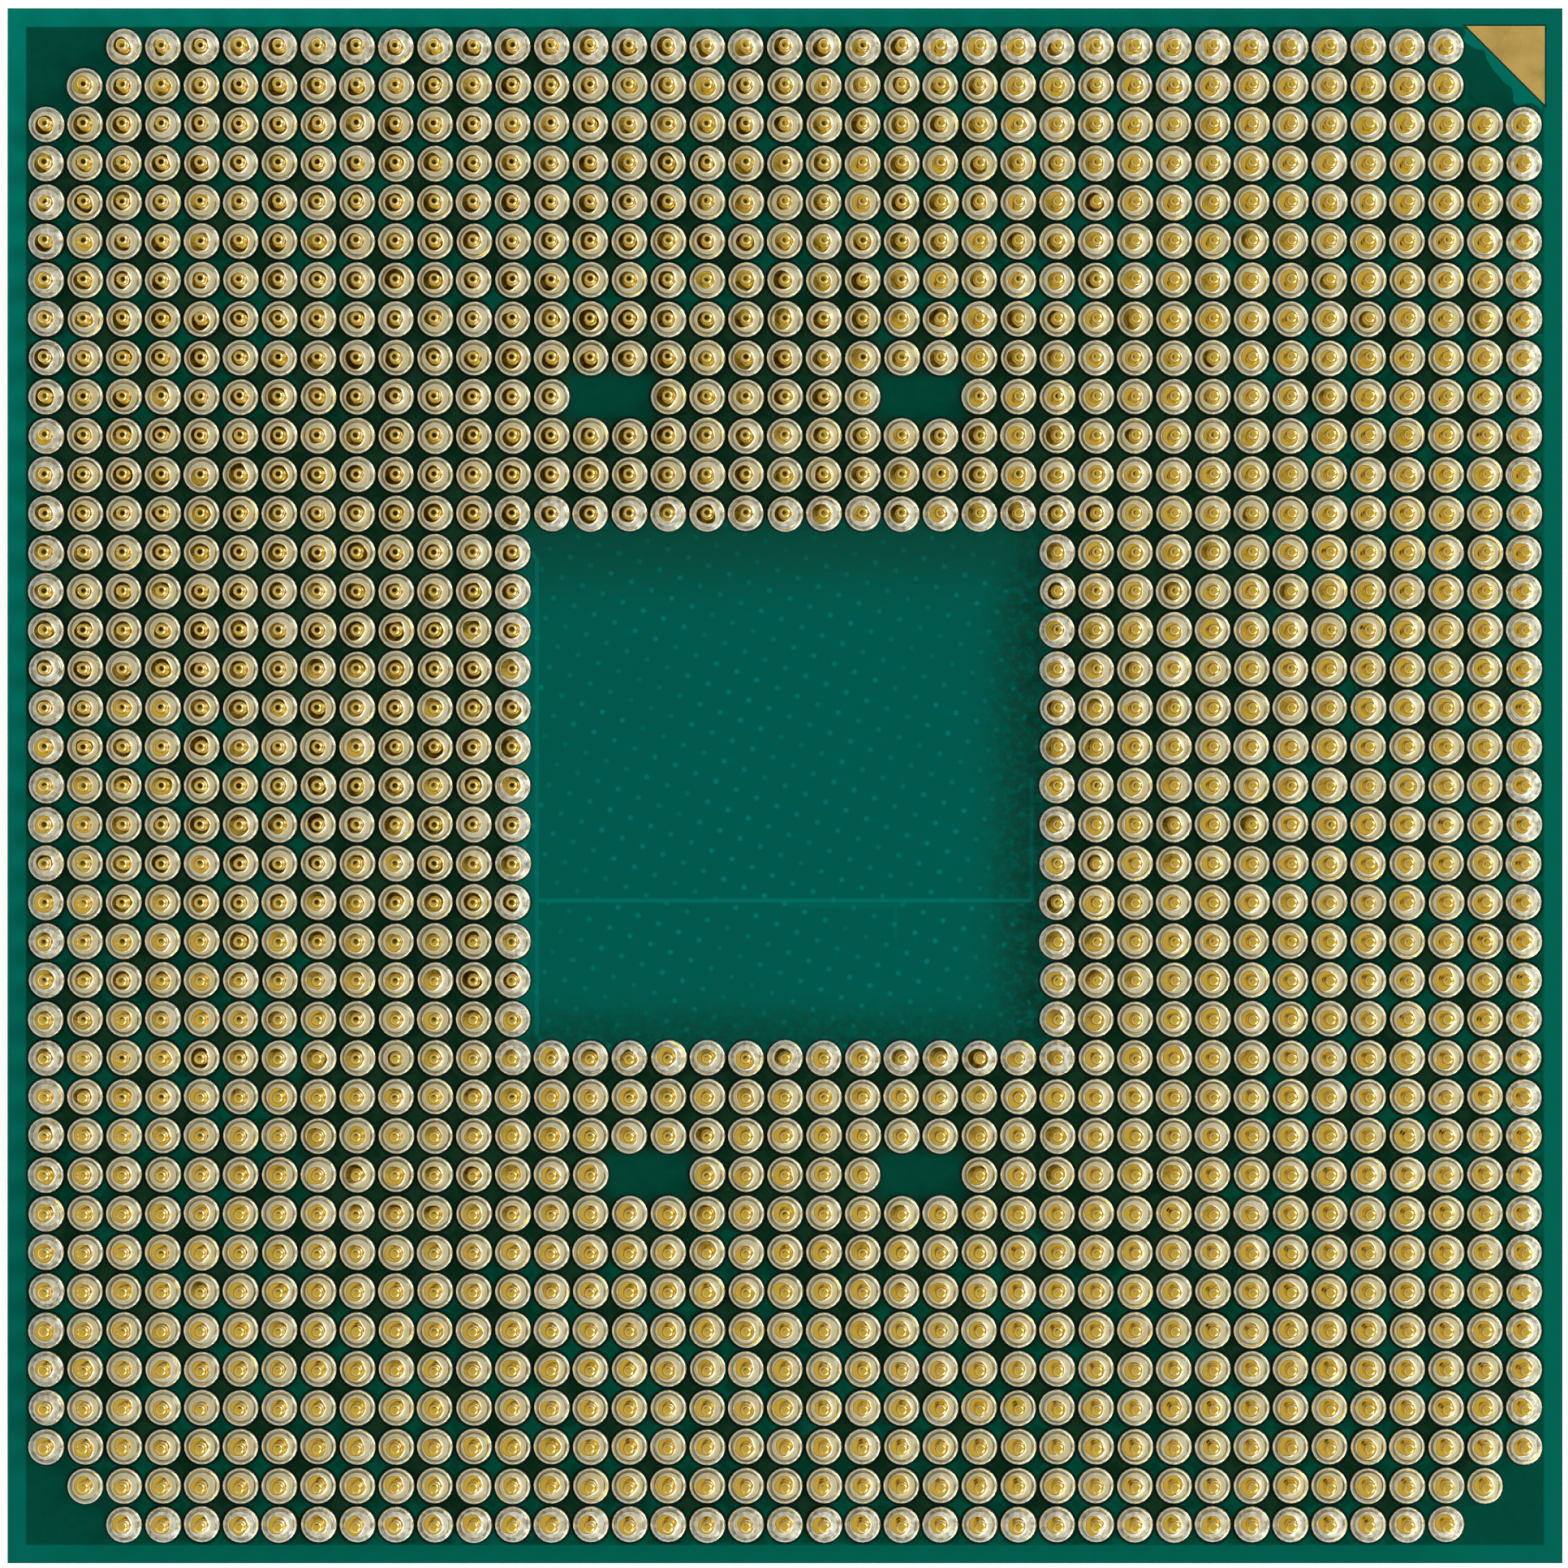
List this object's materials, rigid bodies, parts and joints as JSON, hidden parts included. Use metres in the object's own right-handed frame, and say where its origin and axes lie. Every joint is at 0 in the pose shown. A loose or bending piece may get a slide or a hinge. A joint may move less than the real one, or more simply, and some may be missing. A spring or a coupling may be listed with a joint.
{
  "type": "cpu processor",
  "caption": "Square pin-grid-array processor lying on its heat spreader, gold pins up on a green substrate with a bare window in the middle.",
  "frame": {"origin": "middle of the heat spreader's outer face, which the part lies on", "axes": "+Z towards the pins' tips, +X and +Y along the substrate's edges, with the pin-one corner at +X +Y"},
  "size_m": [0.04, 0.04, 0.0058],
  "materials": {
    "nickel_plate": "satin",
    "sealant": "matte",
    "silicon": "gloss",
    "thermal_solder": "satin",
    "solder": "satin",
    "underfill": "gloss",
    "capacitor_ceramic": "matte",
    "tin_plate": "satin",
    "solder_mask": "gloss",
    "copper": "satin",
    "buildup": "matte",
    "core_laminate": "matte",
    "gold_plate": "satin",
    "pin_gold": "polished",
    "pin_solder": "satin"
  },
  "bodies": {
    "root": {"heat_spreader": "nickel_plate", "lid_sealant": "sealant", "compute_die": "silicon", "io_die": "silicon", "compute_thermal_solder": "thermal_solder", "io_thermal_solder": "thermal_solder", "compute_die_bumps": "solder", "io_die_bumps": "solder", "compute_underfill": "underfill", "io_underfill": "underfill", "capacitor_bodies": "capacitor_ceramic", "capacitor_terminals": "tin_plate", "capacitor_solder": "solder", "lid_side_mask": "solder_mask", "lid_side_copper": "copper", "lid_side_buildup": "buildup", "substrate_core": "core_laminate", "pin_side_buildup": "buildup", "pin_side_copper": "copper", "pin_side_mask": "solder_mask", "pin_one_marker": "gold_plate", "lid_side_marker": "gold_plate", "corner_pins": "pin_gold", "pins_band_01": "pin_gold", "pins_band_02": "pin_gold", "pins_band_03": "pin_gold", "pins_band_04": "pin_gold", "pins_band_05": "pin_gold", "pins_band_06": "pin_gold", "pins_band_07": "pin_gold", "pins_band_08": "pin_gold", "pins_band_09": "pin_gold", "pins_band_10": "pin_gold", "pins_band_11": "pin_gold", "pins_band_12": "pin_gold", "pins_band_13": "pin_gold", "solder_joints_band_01": "pin_solder", "solder_joints_band_02": "pin_solder", "solder_joints_band_03": "pin_solder", "solder_joints_band_04": "pin_solder", "solder_joints_band_05": "pin_solder", "solder_joints_band_06": "pin_solder", "solder_joints_band_07": "pin_solder", "solder_joints_band_08": "pin_solder", "solder_joints_band_09": "pin_solder", "solder_joints_band_10": "pin_solder", "solder_joints_band_11": "pin_solder", "solder_joints_band_12": "pin_solder", "solder_joints_band_13": "pin_solder"}
  },
  "joints": []
}
